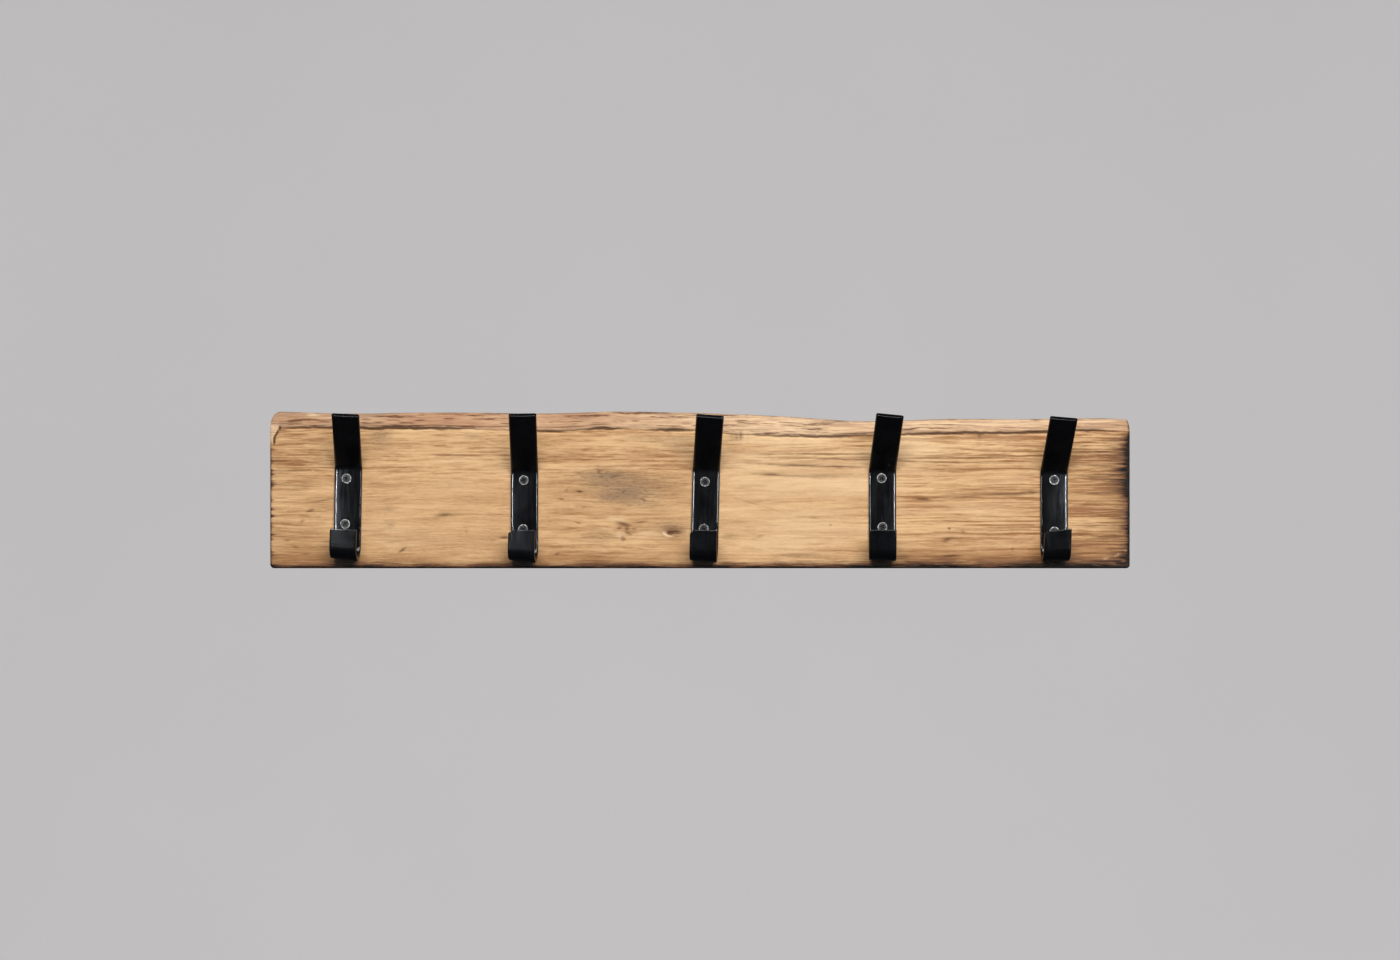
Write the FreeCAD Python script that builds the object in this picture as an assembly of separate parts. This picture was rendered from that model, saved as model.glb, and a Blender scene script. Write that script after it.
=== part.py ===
"""Wall hook rack: a live-edge plank with five bent flat-bar hooks, their screws and two keyhole hangers.

Row frame, in millimetres: X runs along the plank, +Z is up, and Y = 0 is the wall. The front faces -Y.
"""

import FreeCAD
import Part

import math
import os
from collections import namedtuple

from FreeCAD import Rotation, Vector

X_AXIS = Vector(1, 0, 0)
Y_AXIS = Vector(0, 1, 0)
Z_AXIS = Vector(0, 0, 1)

# Plank
PLANK_LENGTH = 800.0
PLANK_THICKNESS = 28.0
PLANK_FRONT = -PLANK_THICKNESS
PLANK_BOTTOM = -73.0
HALF_LENGTH = PLANK_LENGTH / 2
FACE_ROUNDING = 3.0
# Each end of the plank: (side, radius of its top corner, radius of its bottom corner)
PLANK_ENDS = ((-1, 9.0, 4.0), (1, 3.0, 3.5))
# Height of the live top edge at stations along the plank, chosen by eye: high at the left, a dip at the right.
TOP_EDGE = (
    (-391.0, 73.4),
    (-310.0, 71.8),
    (-215.0, 72.5),
    (-140.0, 71.6),
    (-85.0, 73.4),
    (-10.0, 72.2),
    (50.0, 70.4),
    (95.0, 67.8),
    (140.0, 64.7),
    (235.0, 66.5),
    (300.0, 66.2),
    (370.0, 67.2),
    (397.0, 66.0),
)
# The wane is the log's own outer surface: it leaves the front face here and curves back to the top edge.
WANE_START = 54.5
WANE_TOP = 74.5
WANE_DEPTH = 12.0
WANE_BULGE = 1.4

# Hook: one length of flat bar, bent twice
BAR_WIDTH = 25.4
BAR_THICKNESS = 4.0
BAR_EDGE_RADIUS = 1.5
BAR_CROWN = 0.25
BAR_CENTRE = PLANK_FRONT - BAR_THICKNESS / 2
ARM_ANGLE = 45.0
ARM_BEND_RADIUS = 7.0
LIP_BEND_RADIUS = 10.5
LIP_FLARE = 5.0
PROFILE_HEIGHT = -15.0

# The hooks were bent, drilled and set by hand, so no two are quite alike. A hook is drawn at X = 0, and leans
# and moves to x as a whole. Its angles are in degrees, the next four values are heights, and each screw is
# given as (distance from the bar's middle, height).
Hook = namedtuple("Hook", "x lean arm_skew lip_skew arm_tip arm_bend lip_tip bottom upper_screw lower_screw")
HOOKS = (
    Hook(-327.0, 1.0, 2.2, -4.4, 70.1, 18.2, -35.8, -64.5, (-1.5, 10.8), (-2.0, -31.5)),
    Hook(-163.1, 0.0, 1.2, -5.0, 70.6, 15.0, -36.2, -66.2, (-0.6, 9.2), (-1.2, -36.3)),
    Hook(5.4, 1.4, 2.5, -3.2, 69.4, 16.1, -36.5, -66.2, (-1.0, 7.6), (-1.1, -35.9)),
    Hook(169.5, 0.0, 4.6, -2.4, 70.1, 15.6, -36.3, -65.2, (-0.7, 11.0), (0.0, -34.4)),
    Hook(329.0, -0.2, 4.2, 1.5, 67.4, 14.1, -35.2, -65.7, (0.0, 9.4), (0.0, -38.4)),
)

# Countersunk wood screws: (head diameter, thread diameter, core diameter, length, pitch)
HOOK_SCREW = (8.6, 4.5, 3.0, 25.0, 2.0)
HANGER_SCREW = (6.0, 3.0, 2.0, 16.0, 1.4)
HEAD_RIM = 0.35
HEAD_SINK = 0.15
SHANK_SHARE = 0.28
POINT_LENGTH_SHARE = 1.3
THREAD_CREST = 0.25
RECESS_WIDTH_SHARE = 0.17
RECESS_SPAN_SHARE = 0.54
RECESS_DEPTH_SHARE = 0.24
RECESS_TAPER = 0.35
THREAD_ROOT_SHARE = 0.9
THREAD_FOOT_SHARE = 0.28
HOLE_CLEARANCE = 0.2
PILOT_CLEARANCE = 0.05
# How far a cutter stands clear of the face it cuts through
CUTTER_MARGIN = 0.1

# Keyhole hangers, let in flush at the back
HANGER_SPACING = 500.0
HANGER_HEIGHT = 28.0
HANGER_LENGTH = 46.0
HANGER_WIDTH = 18.0
HANGER_THICKNESS = 2.0
HANGER_SCREW_OFFSET = 17.0
KEYHOLE_RADIUS = 5.0
KEYHOLE_DROP = 3.5
KEYHOLE_SLOT_WIDTH = 5.0
KEYHOLE_SLOT_TOP = 7.0
RECESS_MARGIN = 0.15
POCKET_DEPTH = 9.0
POCKET_WIDTH = 13.0
POCKET_TOP = 11.0
POCKET_BOTTOM = 10.0


def spline_edge(points):
    """A smooth edge in the front plane through (x, z) points."""
    curve = Part.BSplineCurve()
    curve.interpolate([Vector(x, 0, z) for x, z in points])
    return curve.toShape()


def arc_edge(start, middle, end):
    return Part.Arc(Vector(*start), Vector(*middle), Vector(*end)).toShape()


def corner_edge(side, z, towards, radius):
    """A quarter circle at one end, from the edge at height (z) to the sawn end, which lies (towards) up or down."""
    outer_x = side * HALF_LENGTH
    inner_x = outer_x - side * radius
    end_z = z + towards * radius
    bow = radius * math.sqrt(0.5)
    return arc_edge((inner_x, 0, z), (inner_x + side * bow, 0, end_z - towards * bow), (outer_x, 0, end_z))


def plank_outline():
    """The plank's front outline: a live top edge, two sawn ends and a sawn bottom."""
    edges = [spline_edge(TOP_EDGE)]
    bottom = []
    for (side, top_radius, low_radius), (_, top_z) in zip(PLANK_ENDS, (TOP_EDGE[0], TOP_EDGE[-1])):
        edges.append(corner_edge(side, top_z, -1, top_radius))
        edges.append(corner_edge(side, PLANK_BOTTOM, 1, low_radius))
        low = Vector(side * HALF_LENGTH, 0, PLANK_BOTTOM + low_radius)
        edges.append(Part.makeLine(low, Vector(low.x, 0, top_z - top_radius)))
        bottom.append(Vector(side * (HALF_LENGTH - low_radius), 0, PLANK_BOTTOM))
    edges.append(Part.makeLine(*bottom))
    return Part.Wire(Part.__sortEdges__(edges))


def wane_cutter():
    """The wedge of air in front of the live edge, whose inner side is a shallow arc."""
    low = (0, PLANK_FRONT, WANE_START)
    high = (0, PLANK_FRONT + WANE_DEPTH, WANE_TOP)
    middle = (
        0,
        PLANK_FRONT + WANE_DEPTH / 2 - WANE_BULGE,
        (WANE_START + WANE_TOP) / 2 + WANE_BULGE,
    )
    front = PLANK_FRONT - WANE_DEPTH
    top = WANE_TOP + WANE_DEPTH
    corners = [Vector(*high), Vector(0, high[1], top), Vector(0, front, top), Vector(0, front, low[2]), Vector(*low)]
    edges = [Part.makeLine(a, b) for a, b in zip(corners, corners[1:])]
    face = Part.Face(Part.Wire([arc_edge(low, middle, high), *edges]))
    face.translate(Vector(-PLANK_LENGTH, 0, 0))
    return face.extrude(Vector(2 * PLANK_LENGTH, 0, 0))


def obround(width, bottom, top, back, depth):
    """An upright slot-shaped solid: (width) wide with round ends, from (back) forwards by (depth)."""
    radius = width / 2
    low = bottom + radius
    high = top - radius
    edges = [
        arc_edge((-radius, back, low), (0, back, bottom), (radius, back, low)),
        Part.makeLine(Vector(radius, back, low), Vector(radius, back, high)),
        arc_edge((radius, back, high), (0, back, top), (-radius, back, high)),
        Part.makeLine(Vector(-radius, back, high), Vector(-radius, back, low)),
    ]
    return Part.Face(Part.Wire(edges)).extrude(Vector(0, -depth, 0))


def hanger_places():
    return [Vector(side * HANGER_SPACING / 2, 0, HANGER_HEIGHT) for side in (-1, 1)]


def hanger_screw_places():
    """Each hanger screw's head centre, in the hanger's own outer face."""
    offsets = (HANGER_SCREW_OFFSET, -HANGER_SCREW_OFFSET)
    return [place + Vector(0, 0, dz) for place in hanger_places() for dz in offsets]


def hanger_recess():
    """What is routed out of the plank's back for one hanger and the wall screw's head."""
    margin = RECESS_MARGIN
    plate = obround(
        HANGER_WIDTH + 2 * margin,
        -HANGER_LENGTH / 2 - margin,
        HANGER_LENGTH / 2 + margin,
        0,
        HANGER_THICKNESS,
    )
    pocket = obround(POCKET_WIDTH, -POCKET_BOTTOM, POCKET_TOP, 0, HANGER_THICKNESS + POCKET_DEPTH)
    return plate.fuse(pocket)


def screw_hole(thread_diameter, depth):
    """A hole along +Y from the origin, a little wider than the thread and as deep as asked."""
    return Part.makeCylinder(thread_diameter / 2 + PILOT_CLEARANCE, depth, Vector(0, 0, 0), Y_AXIS)


def hook_frame(hook):
    """The placement that carries a hook drawn at X = 0 to where it is fixed."""
    return FreeCAD.Placement(Vector(hook.x, 0, 0), Rotation(Y_AXIS, hook.lean))


def placed(shape, placement):
    moved = shape.copy()
    moved.Placement = placement.multiply(moved.Placement)
    return moved


def make_plank():
    plank = Part.Face(plank_outline()).extrude(Vector(0, PLANK_FRONT, 0))
    plank = plank.cut(wane_cutter())
    plank = rounded_front(plank)
    for place in hanger_places():
        plank = plank.cut(hanger_recess().translated(place))
    depth = HANGER_SCREW[3] + HEAD_SINK + PILOT_CLEARANCE
    for place in hanger_screw_places():
        hole = screw_hole(HANGER_SCREW[1], depth)
        hole.rotate(Vector(0, 0, 0), Z_AXIS, 180)
        plank = plank.cut(hole.translated(place))
    depth = HOOK_SCREW[3] + HEAD_SINK - BAR_THICKNESS + PILOT_CLEARANCE
    for hook in HOOKS:
        for across, height in (hook.upper_screw, hook.lower_screw):
            hole = screw_hole(HOOK_SCREW[1], depth).translated(Vector(across, PLANK_FRONT, height))
            plank = plank.cut(placed(hole, hook_frame(hook)))
    return plank


def rounded_front(plank):
    """Eases the front face's bottom edge and its two ends."""
    tolerance = 0.01
    chosen = []
    for edge in plank.Edges:
        box = edge.BoundBox
        on_front = abs(box.YMin - PLANK_FRONT) < tolerance and abs(box.YMax - PLANK_FRONT) < tolerance
        if on_front and box.ZMin < WANE_START - 1 and box.ZMax < WANE_START + 1:
            chosen.append(edge)
    return plank.makeFillet(FACE_ROUNDING, chosen)


def bar_profile():
    """The bar's section at PROFILE_HEIGHT: a flat back, rounded edges and a slightly crowned front."""
    half = BAR_WIDTH / 2
    back = PLANK_FRONT
    front = PLANK_FRONT - BAR_THICKNESS + BAR_CROWN
    radius = BAR_EDGE_RADIUS
    inset = radius * (1 - math.sqrt(0.5))
    z = PROFILE_HEIGHT

    def round_edge(side, y, towards):
        return arc_edge(
            (side * (half - radius), y, z),
            (side * (half - inset), y + towards * inset, z),
            (side * half, y + towards * radius, z),
        )

    edges = [
        Part.makeLine(Vector(-(half - radius), back, z), Vector(half - radius, back, z)),
        round_edge(1, back, -1),
        Part.makeLine(Vector(half, back - radius, z), Vector(half, front + radius, z)),
        round_edge(1, front, 1),
        arc_edge((half - radius, front, z), (0, front - BAR_CROWN, z), (-(half - radius), front, z)),
        round_edge(-1, front, 1),
        Part.makeLine(Vector(-half, front + radius, z), Vector(-half, back - radius, z)),
        round_edge(-1, back, -1),
    ]
    return Part.Wire(edges)


def bend_path(start_z, bend_z, direction, radius, angle, skew, tip_z):
    """A path up (direction 1) or down (-1) the bar's centre: straight, bent forward by angle, straight to tip_z."""
    forward = Vector(math.sin(math.radians(skew)), -math.cos(math.radians(skew)), 0)
    along = Vector(0, 0, direction)
    turn = math.radians(angle)

    def on_bend(share):
        swing = turn * share
        return start + forward * (radius * (1 - math.cos(swing))) + along * (radius * math.sin(swing))

    start = Vector(0, BAR_CENTRE, bend_z)
    end = on_bend(1)
    heading = forward * math.sin(turn) + along * math.cos(turn)
    tip = end + heading * ((tip_z - end.z) / heading.z)
    return Part.Wire(
        [
            Part.makeLine(Vector(0, BAR_CENTRE, start_z), start),
            Part.Arc(start, on_bend(0.5), end).toShape(),
            Part.makeLine(end, tip),
        ]
    )


def swept_bar(path):
    pipe = Part.BRepOffsetAPI.MakePipeShell(path)
    pipe.add(bar_profile())
    pipe.build()
    pipe.makeSolid()
    return pipe.shape()


def hook_blank(hook):
    """The bent bar with no holes, drawn at X = 0."""
    # The far corner of each cut end stands at the tip's height, so the centre line stops short of it.
    arm_end = hook.arm_tip - BAR_THICKNESS / 2 * math.sin(math.radians(ARM_ANGLE))
    arm = swept_bar(
        bend_path(PROFILE_HEIGHT, hook.arm_bend, 1, ARM_BEND_RADIUS, ARM_ANGLE, hook.arm_skew, arm_end)
    )
    lip_bend = hook.bottom + LIP_BEND_RADIUS + BAR_THICKNESS / 2
    lip_end = hook.lip_tip - BAR_THICKNESS / 2 * math.sin(math.radians(LIP_FLARE))
    lip = swept_bar(
        bend_path(PROFILE_HEIGHT, lip_bend, -1, LIP_BEND_RADIUS, 180 - LIP_FLARE, hook.lip_skew, lip_end)
    )
    return arm.fuse(lip).removeSplitter()


def countersink(screw):
    """The clearance hole and its 90 degree countersink, along +Y from the bar's front face."""
    head_diameter, thread_diameter = screw[:2]
    head_radius = head_diameter / 2 + HOLE_CLEARANCE
    hole_radius = thread_diameter / 2 + HOLE_CLEARANCE
    deep = head_radius - hole_radius
    origin = Vector(0, 0, 0)
    mouth = Part.makeCylinder(head_radius, HEAD_RIM + BAR_THICKNESS, Vector(0, -BAR_THICKNESS, 0), Y_AXIS)
    cone = Part.makeCone(head_radius, hole_radius, deep, Vector(0, HEAD_RIM, 0), Y_AXIS)
    shank = Part.makeCylinder(hole_radius, 2 * BAR_THICKNESS, origin, Y_AXIS)
    return mouth.fuse([cone, shank])


def make_hook(hook):
    bar = hook_blank(hook)
    front = PLANK_FRONT - BAR_THICKNESS + HEAD_SINK
    for across, height in (hook.upper_screw, hook.lower_screw):
        bar = bar.cut(countersink(HOOK_SCREW).translated(Vector(across, front, height)))
    return bar


def cross_recess(head_diameter):
    """A cross-shaped driver recess, tapering inwards along +Y from the head's top."""
    span = head_diameter * RECESS_SPAN_SHARE
    width = head_diameter * RECESS_WIDTH_SHARE
    depth = head_diameter * RECESS_DEPTH_SHARE

    def wing(turn):
        def outline(scale, y):
            half_span = span / 2 * scale
            half_width = width / 2 * (0.5 + scale / 2)
            corners = [
                Vector(-half_span, y, -half_width),
                Vector(half_span, y, -half_width),
                Vector(half_span, y, half_width),
                Vector(-half_span, y, half_width),
            ]
            return Part.makePolygon([*corners, corners[0]])

        loft = Part.makeLoft([outline(1.0, -CUTTER_MARGIN), outline(RECESS_TAPER, depth)], True)
        loft.rotate(Vector(0, 0, 0), Y_AXIS, turn)
        return loft

    return wing(0).fuse(wing(90))


def screw_body(screw):
    """Head, plain shank and pointed core, turned about Y, with the head's top at the origin."""
    head_diameter, thread_diameter, core_diameter, length, _ = screw
    head_radius = head_diameter / 2
    shank_radius = thread_diameter / 2 - HOLE_CLEARANCE
    core_radius = core_diameter / 2
    cone_end = HEAD_RIM + head_radius - shank_radius
    shank_end = length * SHANK_SHARE
    point_start = length - core_diameter * POINT_LENGTH_SHARE
    outline = [
        Vector(0, 0, 0),
        Vector(head_radius, 0, 0),
        Vector(head_radius, HEAD_RIM, 0),
        Vector(shank_radius, cone_end, 0),
        Vector(shank_radius, shank_end, 0),
        Vector(core_radius, shank_end + shank_radius - core_radius, 0),
        Vector(core_radius, point_start, 0),
        Vector(0, length, 0),
        Vector(0, 0, 0),
    ]
    return Part.Face(Part.makePolygon(outline)).revolve(Vector(0, 0, 0), Y_AXIS, 360)


def screw_thread(screw):
    """The helical thread on the core, as its own solid along +Y."""
    _, thread_diameter, core_diameter, length, pitch = screw
    core_radius = core_diameter / 2
    root_radius = core_radius * THREAD_ROOT_SHARE
    start = length * SHANK_SHARE + pitch
    run = length - core_diameter * POINT_LENGTH_SHARE - start
    helix = Part.makeHelix(pitch, run, root_radius)
    root_half = pitch * THREAD_FOOT_SHARE
    crest_half = THREAD_CREST / 2
    tooth = Part.makePolygon(
        [
            Vector(root_radius, 0, -root_half),
            Vector(thread_diameter / 2, 0, -crest_half),
            Vector(thread_diameter / 2, 0, crest_half),
            Vector(root_radius, 0, root_half),
            Vector(root_radius, 0, -root_half),
        ]
    )
    thread = Part.Wire(helix.Edges).makePipeShell([tooth], True, True)
    thread.rotate(Vector(0, 0, 0), X_AXIS, -90)
    thread.translate(Vector(0, start, 0))
    return thread


def make_screw(screw):
    """A whole wood screw along +Y, with its head's top at the origin."""
    body = screw_body(screw).fuse(screw_thread(screw))
    return body.cut(cross_recess(screw[0]))


def make_hanger():
    """A keyhole hanger plate with its outer face at Y = 0, centred on the origin."""
    plate = obround(HANGER_WIDTH, -HANGER_LENGTH / 2, HANGER_LENGTH / 2, 0, HANGER_THICKNESS)
    entry = Part.makeCylinder(
        KEYHOLE_RADIUS, 2 * HANGER_THICKNESS, Vector(0, HANGER_THICKNESS / 2, -KEYHOLE_DROP), -Y_AXIS
    )
    slot = obround(KEYHOLE_SLOT_WIDTH, -KEYHOLE_DROP, KEYHOLE_SLOT_TOP, HANGER_THICKNESS, 3 * HANGER_THICKNESS)
    plate = plate.cut(entry.fuse(slot))
    for height in (HANGER_SCREW_OFFSET, -HANGER_SCREW_OFFSET):
        hole = countersink(HANGER_SCREW)
        hole.rotate(Vector(0, 0, 0), Z_AXIS, 180)
        plate = plate.cut(hole.translated(Vector(0, -HEAD_SINK, height)))
    return plate


def export(name, shape):
    solids = shape.Solids
    if not shape.isValid() or len(solids) != 1:
        raise ValueError(f"{name} has {len(solids)} solids, valid {shape.isValid()}")
    solids[0].exportStep(f"parts/{name}.step")


def main():
    os.makedirs("parts", exist_ok=True)
    export("plank", make_plank())
    hook_screw = make_screw(HOOK_SCREW)
    head_y = PLANK_FRONT - BAR_THICKNESS + HEAD_SINK
    screw_turns = (17, 52, 71, 34, 8, 63, 40, 25, 80, 47)
    for number, hook in enumerate(HOOKS, 1):
        frame = hook_frame(hook)
        export(f"hook_{number}", placed(make_hook(hook), frame))
        for row, (across, height) in enumerate((hook.upper_screw, hook.lower_screw)):
            screw = hook_screw.copy()
            screw.rotate(Vector(0, 0, 0), Y_AXIS, screw_turns[2 * (number - 1) + row])
            screw.translate(Vector(across, head_y, height))
            export(f"hook_{number}_{('upper', 'lower')[row]}_screw", placed(screw, frame))
    hanger = make_hanger()
    hanger_screw = make_screw(HANGER_SCREW)
    hanger_screw.rotate(Vector(0, 0, 0), Z_AXIS, 180)
    for side, place in zip(("left", "right"), hanger_places()):
        export(f"{side}_hanger", hanger.translated(place))
    names = [f"{side}_hanger_{end}_screw" for side in ("left", "right") for end in ("upper", "lower")]
    for name, place in zip(names, hanger_screw_places()):
        export(name, hanger_screw.translated(place - Vector(0, HEAD_SINK, 0)))


main()
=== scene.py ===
import math
from collections import namedtuple

import bmesh
import bpy
import numpy as np
from bpy.props import FloatProperty, FloatVectorProperty, IntProperty, PointerProperty
from mathutils import Matrix, Vector
from mathutils.kdtree import KDTree


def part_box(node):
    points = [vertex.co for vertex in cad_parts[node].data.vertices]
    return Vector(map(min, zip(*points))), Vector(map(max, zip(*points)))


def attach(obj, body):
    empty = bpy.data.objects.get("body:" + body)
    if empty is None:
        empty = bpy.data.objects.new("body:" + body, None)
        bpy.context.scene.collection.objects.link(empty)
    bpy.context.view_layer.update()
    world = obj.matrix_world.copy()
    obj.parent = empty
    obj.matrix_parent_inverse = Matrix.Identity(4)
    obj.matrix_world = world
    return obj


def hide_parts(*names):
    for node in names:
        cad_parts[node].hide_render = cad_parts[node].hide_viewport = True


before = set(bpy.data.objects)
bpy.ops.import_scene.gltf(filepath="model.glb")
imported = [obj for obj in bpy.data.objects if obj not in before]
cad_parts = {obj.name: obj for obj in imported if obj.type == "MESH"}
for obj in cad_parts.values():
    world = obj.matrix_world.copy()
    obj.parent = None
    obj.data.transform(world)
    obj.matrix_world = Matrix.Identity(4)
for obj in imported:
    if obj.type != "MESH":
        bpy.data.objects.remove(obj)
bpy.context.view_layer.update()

bl_info = {
    "name": "Wall hook rack",
    "version": (1, 0, 0),
    "blender": (4, 5, 0),
    "location": "3D View > Sidebar > Hook rack",
    "description": "A live-edge plank with five bent flat-bar hooks, their screws and two keyhole hangers",
    "category": "Object",
}

MM = 0.001
ALL_BITS = 0xFFFFFFFF
HALF_LENGTH = round(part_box("plank")[1].x / MM)
ENDS = ("upper", "lower")
SIDES = ("left", "right")

# The hooks as they were bent and drilled: skews and leans in degrees, and the rest in millimetres, with
# heights over the origin. A screw is given as (distance from the bar's middle, height). A cut end falls off
# to the left where its fall is positive, and to the right where it is negative.
Hook = namedtuple(
    "Hook",
    "arm_skew lip_skew arm_tip arm_bend lip_tip bottom upper_screw lower_screw "
    "arm_fall lip_fall lip_chip lip_lean",
)
HOOKS = (
    Hook(2.2, -4.4, 70.1, 18.2, -35.8, -64.5, (-1.5, 10.8), (-2.0, -31.5), 0.0, 0.3, 0.8, 2.0),
    Hook(1.2, -5.0, 70.6, 15.0, -36.2, -66.2, (-0.6, 9.2), (-1.2, -36.3), 1.0, 0.6, 3.6, 3.0),
    Hook(2.5, -3.2, 69.4, 16.1, -36.5, -66.2, (-1.0, 7.6), (-1.1, -35.9), -0.6, 0.4, 3.4, 0.5),
    Hook(4.6, -2.4, 70.1, 15.6, -36.3, -65.2, (-0.7, 11.0), (0.0, -34.4), -1.4, -0.2, 2.0, 0.0),
    Hook(4.2, 1.5, 67.4, 14.1, -35.2, -65.7, (0.0, 9.4), (0.0, -38.4), -1.2, 3.2, 2.0, 1.2),
)

# The crack under the live edge: (x, z, darkness) along the plank, in millimetres. The darkness sets the
# crack's width, its depth and the painted shade inside it.
CRACK = (
    (-400, 57.6, 0.2),
    (-385, 58.2, 0.6),
    (-345, 58.0, 0.8),
    (-290, 57.6, 1.0),
    (-235, 57.4, 0.9),
    (-200, 56.6, 0.5),
    (-140, 55.0, 0.8),
    (-112, 56.0, 0.6),
    (-88, 57.6, 1.0),
    (-60, 56.4, 0.4),
    (-32, 56.0, 0.9),
    (5, 54.6, 0.6),
    (45, 51.4, 0.6),
    (110, 50.0, 0.8),
    (170, 51.6, 0.7),
    (230, 53.0, 0.9),
    (300, 53.4, 0.9),
    (350, 55.0, 0.9),
    (400, 54.4, 0.3),
)

# Marks in the wood: (x, z, half length, half height, tilt in degrees, strength), in millimetres.
# Brown ones are knots, resin and latewood streaks; grey ones are weather stains, save the dark smudges noted
# below, which only darken the wood beside the hooks.
BROWN_MARKS = (
    (-75, -35.5, 3.2, 1.4, 15, 0.75),
    (-67, -40, 3.6, 1.5, -20, 0.8),
    (-61.5, -36.5, 2.8, 1.2, 0, 0.7),
    (-71, -46, 2.4, 1.5, 10, 0.7),
    (-363, -19.5, 4.5, 1.4, 25, 0.8),
    (-370, -29, 3.0, 1.4, 20, 0.6),
    (-349, -9.5, 13, 1.1, 8, 0.6),
    (-384, -47, 3.0, 1.3, 0, 0.5),
    (-376, -53, 4.0, 1.3, -10, 0.6),
    (-366, -59.5, 5.0, 1.2, 5, 0.6),
    (-375, 18, 25, 1.1, 2, 0.5),
    (-372, 4, 28, 1.4, -2, 0.45),
    (-277, -56, 5.0, 1.2, 35, 0.9),
    (-238, -23, 11, 1.7, 4, 0.75),
    (-225, 32, 19, 1.0, -2, 0.55),
    (-218, -35, 0.6, 7, 4, 0.5),
    # A dark smudge left of the second hook's lip.
    (-182, -44, 6, 1.6, 0, 0.7),
    (-112, -1.4, 3.6, 1.1, -5, 0.9),
    (-129, -8.4, 3.2, 1.0, 0, 0.7),
    (-124, 0, 3.0, 1.2, 40, 0.5),
    (-94, 17, 2.2, 1.6, 0, 0.9),
    (-95, 22, 3.4, 1.1, 0, 0.5),
    (-78, 13, 6, 1.2, 12, 0.5),
    (-52, -9.3, 2.6, 1.2, -20, 0.8),
    (-113, -31, 4, 1.2, -12, 0.6),
    (-71, -31.6, 7, 1.8, -12, 0.85),
    (-68, -36, 3, 2.4, 0, 0.75),
    (-55, -30, 6, 1.1, 4, 0.7),
    (-71.6, -44.6, 1.2, 2.4, 10, 0.8),
    (-133, -59.5, 3.5, 1.2, 40, 0.7),
    # A dark smudge right of the third hook's lip.
    (26, -43, 8, 4, 0, 0.45),
    (56, -43, 5, 1.6, 15, 0.4),
    (95, -61, 24, 2.2, 0, 0.55),
    (105, -26, 6, 0.9, 0, 0.45),
    (121, -32.5, 1.2, 1.0, 0, 0.7),
    (105, 33.4, 80, 0.9, 0, 0.75),
    (110, 29.4, 75, 0.8, -1, 0.6),
    (104, 22.6, 62, 1.5, -2, 0.65),
    (62, 14.6, 17, 1.5, -2, 0.7),
    (106, 13, 40, 2.0, 0, 0.45),
    (54, -14, 30, 0.6, -17, 0.4),
    (206, -8.4, 8, 1.2, -3, 0.8),
    (247, -5.5, 32, 3.2, 4, 0.5),
    (231.6, -36, 1.4, 1.4, 0, 0.95),
    (231, -29, 0.5, 4.5, 0, 0.45),
    (244.6, -39, 2.2, 1.2, -20, 0.8),
    (229, -47, 5, 2.6, 25, 0.6),
    (238, -45, 16, 0.9, 0, 0.55),
    (232, -61.4, 9, 1.3, 3, 0.85),
    (180, -63.5, 30, 1.2, 2, 0.6),
    (240, 30, 90, 0.9, 1, 0.6),
    (236, 25.8, 88, 0.9, -1, 0.6),
    (226, 18.5, 50, 2.2, 1, 0.35),
    (259.5, 50, 1.5, 1.8, 0, 0.8),
    (38.4, 50.5, 1.3, 4.4, 3, 0.75),
    (33.6, 50.5, 1.1, 3.8, -2, 0.4),
    (29.2, 50.0, 1.1, 3.2, 3, 0.35),
    (43, 44.6, 0.9, 2.0, 0, 0.5),
    (294, -3.7, 26, 1.4, 1, 0.75),
    (307, -2, 7, 2.0, 0, 0.5),
    (290, -37, 0.8, 8, 0, 0.6),
    (290.6, -55, 1.6, 1.6, 0, 0.8),
    (372, 35.5, 30, 1.3, 1, 0.7),
    (374, 12, 28, 2.4, -2, 0.6),
    (380, -3, 22, 2.0, 2, 0.7),
    (366, 23, 22, 1.2, 0, 0.5),
    (370, -33, 28, 1.3, -1, 0.55),
    (376, -45, 22, 1.6, 2, 0.6),
    (350, -52, 30, 1.2, 0, 0.5),
)
GREY_MARKS = (
    (-90, 10, 20, 8, -6, 0.6),
    (-58, -12, 20, 4, -8, 0.45),
    # A dark smudge right of the first hook's arm.
    (-297, 48, 9, 9, 35, 0.9),
    (-289, -18, 4.5, 2.6, 0, 0.45),
    (-288, -32, 5, 4, 0, 0.3),
    (-211, 50, 8, 3, -8, 0.35),
    # A dark smudge left of the second hook's lip.
    (-194, -46, 7, 4, 0, 0.35),
    (-71, 2, 30, 12, -4, 0.85),
    (-80, 12, 12, 4, 10, 0.55),
    (-42, 4, 26, 8, -6, 0.5),
    (-84, -8, 10, 3, 0, 0.55),
    (-92, -44, 16, 5, 0, 0.25),
    (-48, 48, 30, 5, 0, 0.2),
    (-15, 42, 22, 8, 0, 0.3),
    (-27, -37, 15, 8, -14, 0.5),
    (34, 50, 8, 5, 0, 0.5),
)
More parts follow.
